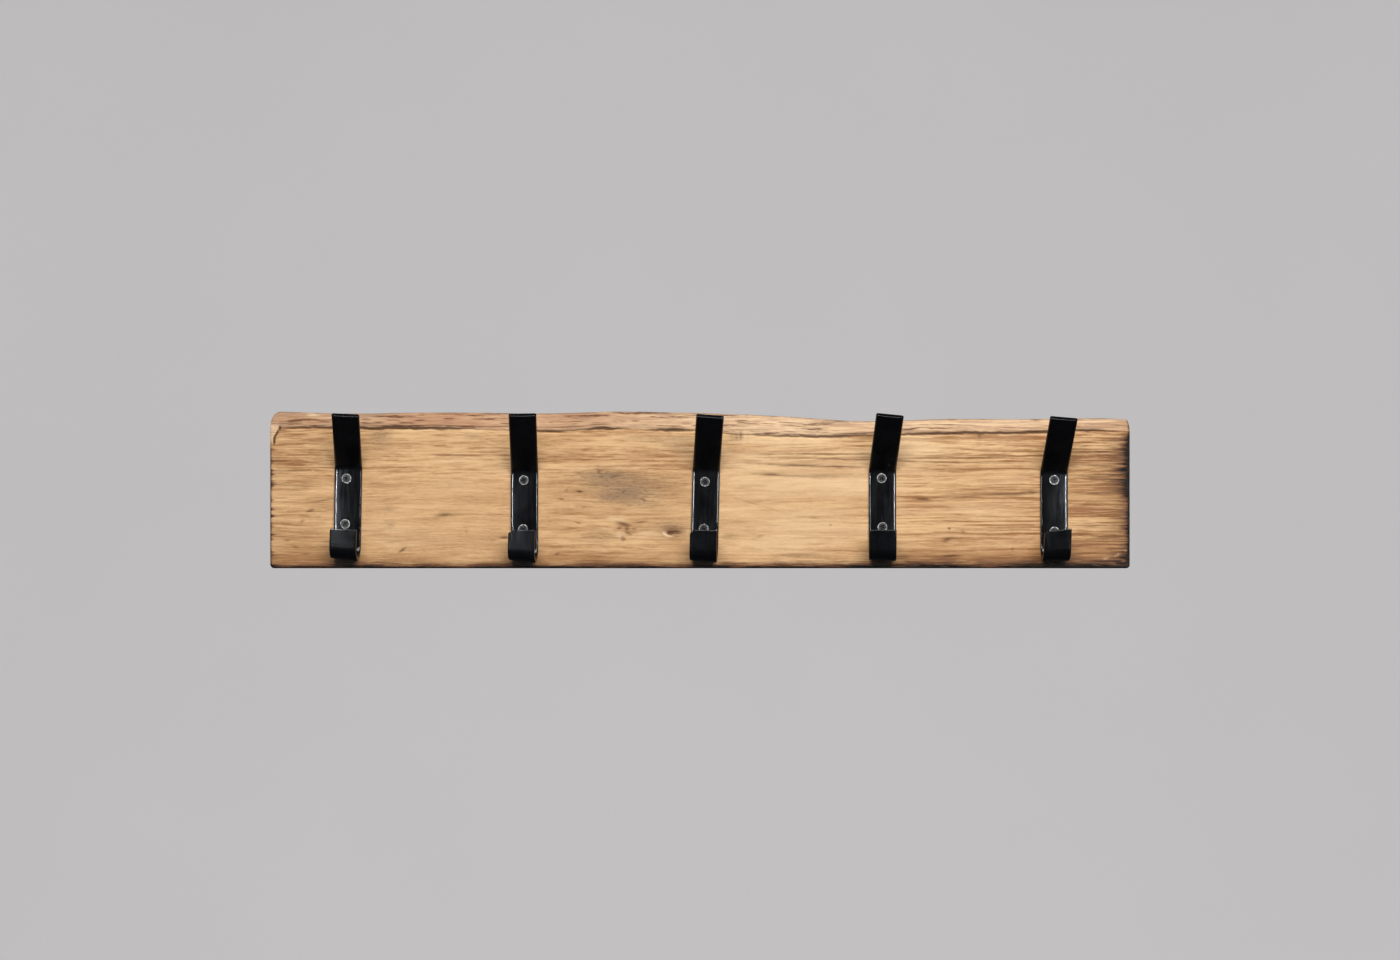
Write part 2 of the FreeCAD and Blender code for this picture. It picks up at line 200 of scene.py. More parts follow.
# Orange ones are heartwood and heat-tinted patches, and pale ones are bare torn wood, except along the top
# rim, where they are painted highlights
ORANGE_MARKS = (
    (-20, -51, 13, 10, 0, 0.65),
    (-372, -56, 22, 9, 0, 0.45),
    (-366, 66, 30, 5, 0, 0.4),
    (110, 16, 50, 5, -2, 0.4),
    (265, -4, 46, 4.5, 3, 0.8),
    (205, -14, 26, 5, -2, 0.5),
    (300, -20, 24, 6, 0, 0.4),
    (250, 20, 60, 7, 0, 0.45),
    (232, -47, 34, 8, 4, 0.5),
    (325, -56, 44, 8, 0, 0.55),
    (366, 6, 30, 16, 0, 0.5),
)
PALE_AND_HIGHLIGHT_MARKS = (
    (-75, -41.5, 4, 2.2, 0, 0.55),
    # Painted highlights on the top rim.
    (-361, 70.5, 7, 1.8, -6, 0.75),
    (-343, 67, 9, 0.9, -3, 0.4),
    (41.2, 50.2, 1.1, 4.6, 0, 0.5),
    (36, 44.6, 6, 0.8, 2, 0.4),
    (-80, -27, 12, 1.4, -10, 0.4),
    (-52, -41, 9, 3.2, 12, 0.3),
    (-92, -37, 8, 1.8, 8, 0.3),
    (377, -64, 2.6, 0.9, 20, 0.6),
    (388, -60.5, 3.0, 1.0, 35, 0.7),
    (394, -66, 2.2, 1.0, 10, 0.7),
    (384, -68, 3.6, 0.8, -5, 0.5),
    (396, -57, 1.6, 1.8, 0, 0.6),
    # Painted highlights along the top rim.
    (20, 66, 40, 0.8, 1, 0.35),
    (120, 63, 50, 0.9, -1, 0.4),
    (230, 62, 60, 1.0, 0, 0.45),
    (360, 64, 34, 1.2, 1, 0.45),
)
# Knots push the grain aside: (x, z, reach, push), in millimetres
KNOTS = (
    (-27, -39, 16, 5.0),
    (-71, -33, 11, 3.0),
    (-72, 3, 24, 3.5),
    (-211, 60, 14, 3.0),
    (230, -46, 12, 3.0),
    (-366, -24, 14, 2.5),
)


def mixed(a, b, share):
    return a + (b - a) * share


def eased(low, high, value):
    """0 below low, 1 above high, and smooth between."""
    share = np.clip((value - low) / (high - low), 0, 1)
    return share * share * (3 - 2 * share)


def through(points, column, x):
    """A smooth line through given points: column of each row against its first number."""
    table = np.array(points, float)
    stations = table[:, 0]
    values = table[:, column]
    slopes = np.gradient(values, stations)
    index = np.clip(np.searchsorted(stations, x) - 1, 0, len(stations) - 2)
    gap = stations[index + 1] - stations[index]
    t = np.clip((x - stations[index]) / gap, 0, 1)
    rise = values[index] * (1 + 2 * t) * (1 - t) ** 2 + values[index + 1] * t * t * (3 - 2 * t)
    return rise + gap * (slopes[index] * t * (1 - t) ** 2 - slopes[index + 1] * t * t * (1 - t))


def lattice(i, j, seed):
    """A fixed random number from -1 to 1 for each whole (i, j), stirred by large odd numbers."""
    bits = (i.astype(np.int64) * 374761393 + j.astype(np.int64) * 668265263 + seed * 974711) & ALL_BITS
    bits = ((bits ^ (bits >> 13)) * 1274126177) & ALL_BITS
    bits ^= bits >> 16
    return bits / (ALL_BITS // 2) - 1


def noise(u, v, seed):
    """Smooth noise from -1 to 1 with features about one unit across."""
    i = np.floor(u)
    j = np.floor(v)
    a = u - i
    b = v - j
    a = a * a * a * (a * (a * 6 - 15) + 10)
    b = b * b * b * (b * (b * 6 - 15) + 10)
    low = mixed(lattice(i, j, seed), lattice(i + 1, j, seed), a)
    high = mixed(lattice(i, j + 1, seed), lattice(i + 1, j + 1, seed), a)
    return mixed(low, high, b)


def rough_noise(u, v, seed, octaves=3):
    """Noise summed over octaves, each half as strong and twice as fine."""
    total = 0
    strength = 1.0
    for octave in range(octaves):
        total = total + strength * noise(u * 2**octave, v * 2**octave, seed + octave)
        strength /= 2
    return total / (2 - 2 * strength)


def marked(marks, x, z):
    """How strongly the soft oval marks cover each point, from 0 to 1."""
    clear = np.ones_like(x)
    for mark_x, mark_z, length, height, tilt, strength in marks:
        turn = math.radians(tilt)
        along = (x - mark_x) * math.cos(turn) + (z - mark_z) * math.sin(turn)
        across = (z - mark_z) * math.cos(turn) - (x - mark_x) * math.sin(turn)
        ragged = 1 + 0.35 * noise(x / 5, z / 1.4, 71)
        reach = ((along / length) ** 2 + (across / height) ** 2) * ragged
        clear *= 1 - strength * np.exp(-reach)
    return 1 - clear


def pushed_aside(x, z):
    """The height of each point in the straight grain, before the knots bent it."""
    height = z.copy()
    for knot_x, knot_z, reach, push in KNOTS:
        dx = (x - knot_x) / (1.8 * reach)
        dz = (z - knot_z) / reach
        height -= push * np.tanh(2.5 * dz) * np.exp(-dx * dx - dz * dz)
    return height


def line_strength(x, z):
    """How marked the grain lines are: strong by the live edge and the right end, faint in the middle."""
    patches = 0.5 + 0.5 * noise(x / 110, z / 20, 7)
    ends = 1.0 * eased(265, 370, x) + 0.25 * eased(-310, -380, x)
    upper = eased(6, 32, z) * (0.42 + 0.26 * eased(60, 140, x))
    middle = 0.46 * eased(150, 200, x) + 0.12 * eased(20, -20, x) * eased(-160, -120, x)
    return 0.14 + 0.24 * patches + upper + ends + middle


def grain_field(x, z):
    """Grain from 0, soft and pale, to 1, hard and dark, at (x, z) in millimetres."""
    level = pushed_aside(x, z)
    level = level + 2.4 * noise(x / 170, z / 60, 3) + 0.6 * noise(x / 60, z / 12, 4)
    broad = rough_noise(x / 120, level / 8, 11)
    broken = 0.5 - 0.28 * eased(60, 170, x)
    lines = mixed(rough_noise(x / 95, level / 1.3, 21, 2), rough_noise(x / 15, level / 1.15, 41, 2), broken)
    long_bands = rough_noise(x / 120, level / 4.2, 31, 2)
    short_bands = rough_noise(x / 40, level / 3.4, 51, 2)
    wide = mixed(long_bands, short_bands, 0.6 * broken)
    dark = eased(0.08, 0.5, lines) + 0.5 * eased(0.15, 0.6, wide)
    light = eased(0.12, 0.5, -lines)
    contrast = 0.60 * dark - 0.42 * light + 0.16 * lines
    return np.clip(0.32 + 0.16 * broad + line_strength(x, z) * contrast, 0, 1)


def new_object(name, points, faces):
    mesh = bpy.data.meshes.new(name)
    mesh.from_pydata([tuple(p) for p in points], [], faces)
    mesh.update()
    piece = bpy.data.objects.new(name, mesh)
    bpy.context.scene.collection.objects.link(piece)
    return piece


def store(piece, name, values):
    """Keeps one number per vertex for the materials to read."""
    layer = piece.data.attributes.new(name, "FLOAT", "POINT")
    layer.data.foreach_set("value", np.asarray(values, np.float32))


def smoothed(piece, sharp_angle=None):
    """Smooth shading, with edges sharper than the angle left crisp."""
    piece.data.shade_smooth()
    if sharp_angle:
        piece.data.set_sharp_from_angle(angle=math.radians(sharp_angle))


def tube_faces(rings, around):
    """Quads that join each closed ring of points to the next."""
    faces = []
    for ring in range(rings - 1):
        first = ring * around
        for step in range(around):
            other = (step + 1) % around
            faces.append((first + step, first + other, first + around + other, first + around + step))
    return faces


def closed_tube(name, points, around):
    """A solid from rings of so many points each, with a flat face over its first and its last ring."""
    rings = len(points) // around
    faces = tube_faces(rings, around)
    faces.append(tuple(range(around - 1, -1, -1)))
    faces.append(tuple(range((rings - 1) * around, rings * around)))
    piece = new_object(name, points, faces)
    work = bmesh.new()
    work.from_mesh(piece.data)
    bmesh.ops.recalc_face_normals(work, faces=work.faces)
    work.to_mesh(piece.data)
    work.free()
    return piece


def take_place(piece, node):
    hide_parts(node)
    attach(piece, "root")


class Nodes:
    """Short calls to build one material's node tree."""

    def __init__(self, name):
        self.material = bpy.data.materials.new(name)
        self.material.use_nodes = True
        self.tree = self.material.node_tree
        self.tree.nodes.clear()
        self.surface = self.add("ShaderNodeBsdfPrincipled")
        output = self.add("ShaderNodeOutputMaterial")
        self.join(self.surface.outputs["BSDF"], output.inputs["Surface"])

    def add(self, kind, **settings):
        node = self.tree.nodes.new(kind)
        for key, value in settings.items():
            setattr(node, key, value)
        return node

    def join(self, source, target):
        self.tree.links.new(source, target)

    def put(self, target, value):
        """Sets a socket to a number or colour, or links it when the value is another socket."""
        if isinstance(value, bpy.types.NodeSocket):
            self.join(value, target)
        else:
            target.default_value = value

    def math(self, operation, a, b=0.0):
        node = self.add("ShaderNodeMath", operation=operation)
        self.put(node.inputs[0], a)
        self.put(node.inputs[1], b)
        return node.outputs[0]

    def plus(self, a, b):
        return self.math("ADD", a, b)

    def minus(self, a, b):
        return self.math("SUBTRACT", a, b)

    def times(self, a, b):
        return self.math("MULTIPLY", a, b)

    def span(self, value, low, high, to_low=0.0, to_high=1.0):
        node = self.add("ShaderNodeMapRange", interpolation_type="SMOOTHSTEP")
        for index, number in enumerate((value, low, high, to_low, to_high)):
            self.put(node.inputs[index], number)
        return node.outputs[0]

    def blend(self, share, a, b, kind="MIX"):
        node = self.add("ShaderNodeMix", data_type="RGBA", blend_type=kind)
        self.put(node.inputs["Factor"], share)
        self.put(node.inputs[6], a)
        self.put(node.inputs[7], b)
        return node.outputs[2]

    def field(self, name):
        return self.add("ShaderNodeAttribute", attribute_name=name).outputs["Fac"]

    def covering(self, name, texture, low, high, at_low, at_high):
        """A field times a texture that is spread from at_low, where it is low, to at_high."""
        return self.times(self.field(name), self.span(texture, low, high, at_low, at_high))

    def place(self, stretch):
        """Object coordinates, multiplied along each axis."""
        where = self.add("ShaderNodeTexCoord").outputs["Object"]
        node = self.add("ShaderNodeMapping")
        self.join(where, node.inputs["Vector"])
        node.inputs["Scale"].default_value = stretch
        return node.outputs[0]

    def texture(self, stretch, detail=3.0, roughness=0.55, distortion=0.0):
        """A noise from about 0.25 to 0.75 whose cells are 1 / stretch metres across."""
        node = self.add("ShaderNodeTexNoise")
        self.join(self.place(stretch), node.inputs["Vector"])
        node.inputs["Scale"].default_value = 1.0
        node.inputs["Detail"].default_value = detail
        node.inputs["Roughness"].default_value = roughness
        node.inputs["Distortion"].default_value = distortion
        return node.outputs["Fac"]

    def relief(self, height, depth, strength=1.0):
        node = self.add("ShaderNodeBump")
        node.inputs["Strength"].default_value = strength
        node.inputs["Distance"].default_value = depth
        self.join(height, node.inputs["Height"])
        self.join(node.outputs[0], self.surface.inputs["Normal"])

    def shade(self, **sockets):
        for name, value in sockets.items():
            self.put(self.surface.inputs[name.replace("_", " ")], value)


def colour(values):
    return (*values, 1.0)


# --------------------------------------------------------------------------------------------- the plank


class PlankSettings(bpy.types.PropertyGroup):
    stations: IntProperty(name="Stations", description="Cross-sections along the plank", default=410)
    front_rows: IntProperty(name="Front rows", description="Points up the sawn front", default=178)
    relief: FloatProperty(
        name="Grain relief", description="Depth between hard and soft grain", default=0.26 * MM, unit="LENGTH"
    )
    crack_depth: FloatProperty(
        name="Crack depth", description="Crack under the live edge", default=1.6 * MM, unit="LENGTH"
    )
    wane_depth: FloatProperty(
        name="Wane depth", description="How far the live edge falls back", default=11 * MM, unit="LENGTH"
    )
    pale: FloatVectorProperty(
        name="Earlywood", description="Colour of the soft grain", default=(0.82, 0.53, 0.275), subtype="COLOR"
    )
    tan: FloatVectorProperty(
        name="Latewood", description="Colour of the hard grain", default=(0.36, 0.165, 0.055), subtype="COLOR"
    )
    brown: FloatVectorProperty(
        name="Knots", description="Colour of knots and resin", default=(0.14, 0.060, 0.022), subtype="COLOR"
    )
    stain: FloatVectorProperty(
        name="Stain", description="Colour of weather stains", default=(0.30, 0.195, 0.112), subtype="COLOR"
    )
    scorch: FloatVectorProperty(
        name="Scorch", description="Colour of scorched edges", default=(0.012, 0.007, 0.004), subtype="COLOR"
    )


def top_outline():
    """The plank's top edge as the frame has it: heights against x, in metres."""
    points = np.array([v.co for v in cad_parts["plank"].data.vertices])
    edge = points[(points[:, 1] > -0.1 * MM) & (points[:, 2] > 60 * MM)]
    edge = edge[np.argsort(edge[:, 0])]
    return edge[:, 0], edge[:, 2]


def end_stations(half, count):
    """Places along the plank, close together in the rounded ends and even between."""
    corner = 7 * MM
    corner_count = 12
    fan = 1 - np.cos(np.linspace(0, math.pi / 2, corner_count))
    rising = -half + corner * fan
    middle = np.linspace(-half + corner, half - corner, count - 2 * corner_count)[1:-1]
    return np.concatenate([rising, middle, -rising[::-1]])


def section_rows(settings):
    """The plank's cross-section as (part, share) rows, from the back's top edge round over the front."""
    parts = (
        ("top", 6),
        ("wane", 26),
        ("front", settings.front_rows),
        ("round", 9),
        ("bottom", 7),
        ("back", 14),
    )
    return [(part, step / count) for part, count in parts for step in range(count)]


def section_point(part, share, x, sizes):
    """Base point and outward direction of one row at every station x, in metres."""
    low, top, crack, wane_depth, front, rounding = sizes
    zero = np.zeros_like(x)
    full = np.ones_like(x)
    wane_y = front + wane_depth
    if part == "top":
        return mixed(zero, wane_y, share), top, (zero, 0 * full, full)
    if part == "wane":
        bulge = 0.16 * math.sin(math.pi * share) * wane_depth
        y = mixed(wane_y, front, share) - bulge
        z = mixed(top, crack, share) + bulge * 0.6
        top_lean = 0.62
        lean = top_lean * (1 - share)
        return y, z, (zero, -full * math.cos(lean), full * math.sin(lean))
    if part == "front":
        return full * front, mixed(crack, low + rounding, share), (zero, -full, zero)
    if part == "round":
        turn = share * math.pi / 2
        y = front + rounding * (1 - math.cos(turn))
        outward = (zero, -full * math.cos(turn), -full * math.sin(turn))
        return full * y, low + rounding * (1 - math.sin(turn)), outward
    if part == "bottom":
        return mixed(full * (front + rounding), zero, share), low, (zero, zero, -full)
    return zero, mixed(low, top, share), (zero, full, zero)


def scorch_field(x, z, top, low):
    """How burnt each front point is: the right end, the left end's notches and the lower edge, whose dark
    band is partly scorch and partly painted shade.
    """
    streak = 0.5 + 0.5 * rough_noise(x / 60, z / 3.2, 61)
    fine = 0.5 + 0.5 * rough_noise(x / 45, z / 1.6, 65, 2)
    from_right = HALF_LENGTH - x
    from_left = x + HALF_LENGTH
    height = eased(56, 44, z) * (0.62 + 0.38 * eased(-12, 4, z)) + 0.25 * eased(-48, -66, z)
    right = 0.8 * np.exp(-from_right / (3 + 6 * streak)) + 0.75 * fine**2 * np.exp(-from_right / 20)
    right = height * (right + 0.24 * np.exp(-from_right / 34)) + 0.75 * np.exp(-from_right / 1.5)
    notch = 0.5 + 0.5 * noise(x / 40, z / 1.8, 64)
    left = 0.85 * np.exp(-from_left / (1.0 + 4.5 * notch**3)) * eased(46, 34, z)
    # The lower edge's dark band: partly scorch, partly painted shade of the rounded edge.
    from_low = z - low
    ragged = 0.5 + 0.5 * rough_noise(x / 24, z / 40, 62)
    patchy = (0.84 + 0.16 * noise(x / 28, 0 * x, 63)) * (0.86 + 0.14 * eased(60, 220, x))
    lower = patchy * np.exp(-np.maximum(from_low - 1.5, 0) / (1.9 + 3.6 * ragged + 1.5 * eased(60, 240, x)))
    rim = 0.35 * np.exp(-(top - z) / 0.9)
    return np.clip(right + left + lower + rim, 0, 1)


def plank_relief(x, z, crack_z, settings):
    """How far the front stands proud of its base surface, in millimetres, with its colour fields."""
    grain = grain_field(x, z)
    above = z - crack_z
    on_wane = eased(-0.2, 1.6, above)
    crack_dark = through(CRACK, 2, x)
    wander = 0.45 * noise(x / 16, 0 * x, 81) + 0.35 * noise(x / 4.5, 0 * x, 82)
    ragged = 0.62 + 0.38 * rough_noise(x / 9, 0 * x, 83)
    width = 0.7 + 1.4 * crack_dark * ragged
    groove = np.exp(-(((above + wander) / width) ** 2)) * eased(0.05, 0.35, ragged)
    beside = above - 2.8 + 1.1 * noise(x / 30, 0 * x, 84)
    doubled = np.maximum(eased(0.0, 0.5, noise(x / 55, 0 * x, 85)), 0.8 * eased(-170, -190, x))
    second = np.exp(-((beside / 0.6) ** 2)) * doubled
    brown = marked(BROWN_MARKS, x, z)
    grey = marked(GREY_MARKS, x, z)
    slant = z / 1.15 + 1.4 * noise(x / 30, z / 9, 94)
    fibres = mixed(rough_noise(x / 55, slant, 91, 2), rough_noise(x / 13, slant, 95, 2), 0.45)
    torn = rough_noise(x / 45, z / 6, 93)
    splits = on_wane * eased(0.10, 0.46, fibres)
    depth = settings.relief / MM
    heights = -depth * (0.15 + 0.85 * grain)
    heights -= 0.12 + 0.08 * rough_noise(x / 70, z / 30, 92)
    heights -= 0.25 * brown + 0.08 * grey
    heights += on_wane * (0.30 * fibres + 0.45 * torn - 0.25)
    heights -= (groove * crack_dark + 0.4 * second) * settings.crack_depth / MM
    return heights, {
        "grain": grain,
        "marking": line_strength(x, z),
        "brown": brown,
        "grey": grey,
        # Painted shade inside the crack and along the second line beside it.
        "crack": np.clip(groove * crack_dark + 0.55 * second, 0, 1),
        "wane": on_wane,
        "split": splits,
        "halo": marked(ORANGE_MARKS, x, z),
        "pale": marked(PALE_AND_HIGHLIGHT_MARKS, x, z),
    }


def oval(x, z, middle_x, middle_z, length, height):
    """A soft oval spot, 1 in its middle."""
    return np.exp(-(((x - middle_x) / length) ** 2) - ((z - middle_z) / height) ** 2)


def knot_relief(x, z, heights, fields):
    """The one open knot: a small pale hook of bark in a dark hollow, shaded all round."""
    knot_x = -28.5
    knot_z = -40.2
    dx = (x - knot_x) / 4.4
    dz = (z - knot_z) / 2.7
    reach = np.sqrt(dx * dx + dz * dz)
    ragged = 0.15 * noise(x / 3, z / 2, 86)
    ring = np.exp(-(((reach - 1 + ragged) / 0.3) ** 2))
    crescent = ring * eased(0.0, 0.8, 0.1 - 0.75 * dx - 0.75 * dz)
    hollow = np.exp(-((reach / 0.8) ** 4))
    tail = oval(x, z, knot_x + 6.5, knot_z + 0.8, 5, 1.1)
    shade = oval(x, z, knot_x + 3.5, knot_z + 1.7, 12, 6.5)
    heights += 0.35 * crescent - 0.8 * hollow - 0.5 * tail - 0.2 * shade
    dark = 0.62 * shade + 0.5 * hollow + 0.6 * tail
    fields["brown"] = np.clip(np.maximum(fields["brown"], dark) - crescent, 0, 1)
    fields["pale"] = np.maximum(fields["pale"], 0.65 * crescent)


def corner_relief(x, z, heights, fields):
    """The top left corner of the sawn front, knocked off to bare wood beyond a curved break, darkened with
    painted shade.
    """
    edge = -390.5 - 5.5 * eased(60, 47, z)
    beyond = eased(0.3, -1.2, x - edge) * eased(44, 50, z) * eased(64, 59, z)
    # The break's dark line is painted shade.
    line = np.exp(-(((x - edge) / 1.3) ** 2)) * eased(38, 46, z) * eased(62, 58, z)
    heights -= 0.9 * beyond + 0.6 * line
    fields["pale"] = np.maximum(fields["pale"], 0.55 * beyond)
    fields["crack"] = np.maximum(fields["crack"] * (1 - beyond), line)
    bare = np.maximum(beyond, fields["pale"])
    fields["scorch"] = fields["scorch"] * (1 - 0.85 * bare)


def tone_and_light_field(x, z):
    """Broad light and dark areas, about 0.5: partly the wood's own tone and partly painted light, brightest
    right of the middle and falling off towards both ends.
    """
    tone_and_light_bands = (
        (-400, 0.36),
        (-340, 0.42),
        (-280, 0.52),
        (-200, 0.52),
        (-150, 0.48),
        (-70, 0.42),
        (-20, 0.48),
        (30, 0.66),
        (110, 0.74),
        (150, 0.66),
        (220, 0.54),
        (290, 0.50),
        (345, 0.40),
        (400, 0.28),
    )
    drift = 0.07 * rough_noise(x / 80, z / 16, 101)
    # Darker towards the bottom edge, more so on the right: partly scorch and partly painted shade.
    lower = 0.20 * eased(-54, -68, z) + 0.26 * eased(-36, -64, z) * eased(60, 240, x)
    edge = eased(56, 60, z) * (0.24 * eased(-60, -110, x) - 0.22 * eased(240, 330, x))
    bright = 0.16 * eased(12, 34, z) * eased(170, 200, x) * eased(340, 300, x)
    return np.clip(through(tone_and_light_bands, 1, x) + drift + bright - lower - edge, 0, 1)


def warm_field(x, z, on_wane):
    """Where the wood turns reddish: parts of the live edge, and around the right end."""
    patches = (
        (-400, 0.1),
        (-300, 0.35),
        (-275, 0.75),
        (-215, 0.85),
        (-190, 0.5),
        (-130, 0.55),
        (-85, 0.3),
        (-50, 0.05),
        (400, 0.05),
    )
    edge = on_wane * through(patches, 1, x)
    streaks = eased(-0.05, 0.55, rough_noise(x / 60, z / 4.5, 111))
    right = eased(190, 400, x) * 0.6 + 0.25 * eased(-40, -66, z)
    return np.clip(edge + streaks * (0.22 + right), 0, 1)


def plank_points(settings):
    """Every point of the plank's skin, station by station, with its colour fields."""
    low_corner, high_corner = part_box("plank")
    half = high_corner.x
    front = low_corner.y
    outline_x, outline_z = top_outline()
    xs = end_stations(half, settings.stations)
    x = xs / MM
    crack = through(CRACK, 1, x) * MM
    left_corner = 4 * MM
    right_corner = 3.5 * MM
    corner = np.where(xs < 0, left_corner, right_corner)
    from_end = np.clip(half - abs(xs), 0, corner)
    low = low_corner.z + corner - np.sqrt(corner**2 - (corner - from_end) ** 2)
    top = np.interp(xs, outline_x, outline_z)
    easing = 2.2 * MM
    near = np.clip(half - abs(xs), 0, easing)
    inset = easing - np.sqrt(easing**2 - (easing - near) ** 2)
    sizes = (low, top, crack, settings.wane_depth, front, easing)
    columns = {"x": [], "y": [], "z": []}
    layers = []
    for part, share in section_rows(settings):
        y, z, outward = section_point(part, share, xs, sizes)
        z = np.broadcast_to(z, xs.shape)
        up = z / MM
        heights, fields = plank_relief(x, up, crack / MM, settings)
        fields["scorch"] = scorch_field(x, up, top / MM, low_corner.z / MM)
        knot_relief(x, up, heights, fields)
        corner_relief(x, up, heights, fields)
        # Tone: partly the wood's own, partly painted light.
        fields["tone"] = tone_and_light_field(x, up)
        fields["warm"] = warm_field(x, up, fields["wane"])
        if part == "back":
            heights = -0.1 + 0.1 * (fields["grain"] - 1)
            plain_back(fields)
        if part in ("top", "bottom"):
            heights = np.minimum(heights, 0) * 0.6
            fields["crack"] *= 0
        shown = part in ("wane", "front", "round")
        if shown:
            notches = 0.9 * fields["scorch"] ** 2 * (0.4 + 0.6 * rough_noise(x / 5, up / 2.2, 121))
            heights = heights - notches
        columns["x"].append(xs)
        columns["y"].append(y + inset * shown + heights * MM * outward[1])
        columns["z"].append(z + heights * MM * outward[2])
        layers.append(fields)
    points = np.stack([np.array(columns[axis]).T for axis in "xyz"], axis=-1)
    values = {name: np.array([layer[name] for layer in layers]).T for name in layers[0]}
    return points, values


def plain_back(fields):
    """The back is bare sawn wood, with none of the front's marks."""
    for name in ("brown", "grey", "halo", "crack", "split", "wane", "pale", "warm"):
        fields[name] = fields[name] * 0.15


def capped(points, values, rings=4):
    """Adds rings that shrink towards the upright middle line of each end, for its end grain."""
    spine_low = -55 * MM
    spine_high = 52 * MM
    first_share = 0.08
    last_share = 0.92
    ends = []
    for station in (0, -1):
        ring = points[station]
        across = np.full(len(ring), ring[:, 1].mean())
        spine = np.stack([ring[:, 0], across, np.clip(ring[:, 2], spine_low, spine_high)], axis=-1)
        bumps = 0.35 * MM * np.sign(ring[0, 0])
        inner = []
        for step in range(1, rings + 1):
            share = mixed(first_share, last_share, (step - 1) / (rings - 1))
            loop = mixed(ring, spine, share)
            rough = rough_noise(loop[:, 1] / MM / 1.7, loop[:, 2] / MM / 1.7, 131 + step)
            loop[:, 0] += bumps * (rough - 1)
            inner.append(loop)
        ends.append(np.array(inner))
    skin = np.concatenate([ends[0][::-1], points, ends[1]])
    kept = {}
    for name, grid in values.items():
        kept[name] = np.concatenate([np.repeat(grid[:1], rings, 0), grid, np.repeat(grid[-1:], rings, 0)])
    kept["end"] = np.zeros(skin.shape[:2])
    kept["end"][: rings + 1] = 1
    kept["end"][-rings - 1 :] = 1
    return skin, kept


def plank_material(settings):
    """Brushed softwood: brown grain lines on pale wood, with stains, knots and scorched edges, and painted
    light: a fall-off towards the ends, shade in the crack and along the bottom edge, and highlights on the
    top rim.
    """
    wood = Nodes("brushed_softwood")
    hairline = wood.texture((40, 300, 660), detail=4.0, roughness=0.68, distortion=0.3)
    fibre = wood.texture((190, 900, 1100), detail=2.0)
    cloud = wood.texture((9, 40, 44), detail=5.0, roughness=0.62)
    fine = wood.times(wood.minus(hairline, 0.5), wood.plus(wood.field("marking"), 0.45))
    streak = wood.plus(wood.field("grain"), wood.times(fine, 1.7))
    streak = wood.plus(streak, wood.times(wood.minus(fibre, 0.5), 0.5))
    base = wood.blend(wood.span(streak, -0.15, 1.1), colour(settings.pale), colour(settings.tan))
    # The tone field is partly the wood's own tone and partly painted light that falls off towards the ends.
    tone = wood.plus(wood.field("tone"), wood.minus(cloud, 0.5))
    base = wood.blend(wood.span(tone, 0.52, 0.12, 0.0, 0.85), base, (0.60, 0.50, 0.40, 1), "MULTIPLY")
    base = wood.blend(wood.span(tone, 0.5, 0.95, 0.0, 0.6), base, (0.96, 0.69, 0.41, 1))
    rough_edge = wood.covering("wane", hairline, 0.46, 0.64, 0.0, 0.6)
    base = wood.blend(rough_edge, base, (0.30, 0.155, 0.08, 1))
    base = wood.blend(wood.times(wood.field("wane"), 0.35), base, (0.66, 0.50, 0.38, 1))
    warm = wood.covering("warm", hairline, 0.34, 0.62, 0.55, 1.0)
    base = wood.blend(wood.times(warm, 0.62), base, (0.39, 0.165, 0.085, 1))
    halo = wood.covering("halo", cloud, 0.35, 0.65, 0.5, 1.0)
    base = wood.blend(wood.times(halo, 0.85), base, (0.43, 0.205, 0.078, 1))
    grey = wood.covering("grey", cloud, 0.35, 0.62, 0.45, 1.2)
    base = wood.blend(grey, base, colour(settings.stain))
    dashes = wood.times(grey, wood.span(fibre, 0.53, 0.66, 0.0, 1.0))
    base = wood.blend(dashes, base, (0.20, 0.11, 0.055, 1))
    split = wood.covering("split", fibre, 0.3, 0.6, 0.6, 1.0)
    base = wood.blend(split, base, (0.14, 0.058, 0.028, 1))
    brown = wood.covering("brown", hairline, 0.3, 0.6, 0.65, 1.15)
    base = wood.blend(wood.span(brown, 0.0, 1.0), base, colour(settings.brown))
    # Pale marks: bare torn wood, and painted highlights along the top rim.
    pale = wood.covering("pale", hairline, 0.3, 0.6, 1.1, 0.6)
    base = wood.blend(pale, base, (0.92, 0.70, 0.46, 1))
    # Painted shade inside the crack and along the corner's break line.
    crack = wood.span(wood.field("crack"), 0.1, 0.8)
    base = wood.blend(wood.times(crack, 0.9), base, (0.055, 0.022, 0.009, 1))
    # Scorch; its dark band along the lower edge is partly painted shade.
    burnt = wood.covering("scorch", hairline, 0.3, 0.64, 0.55, 1.3)
    base = wood.blend(wood.span(burnt, 0.04, 0.5), base, (0.17, 0.075, 0.034, 1))
    base = wood.blend(wood.span(burnt, 0.38, 0.85), base, colour(settings.scorch))
    base = wood.blend(wood.field("end"), base, end_grain(wood, burnt))
    height = wood.plus(wood.times(hairline, 0.7), wood.times(fibre, 0.3))
    wood.relief(height, 0.35 * MM, 0.45)
    raw = wood.times(wood.math("MAXIMUM", wood.field("wane"), wood.field("end")), 0.95)
    roughness = wood.math("MAXIMUM", wood.span(streak, 0.2, 1.0, 0.75, 0.6), raw)
    wood.shade(Base_Color=base, Roughness=roughness)
    wood.surface.inputs["Specular IOR Level"].default_value = 0.14
    return wood.material


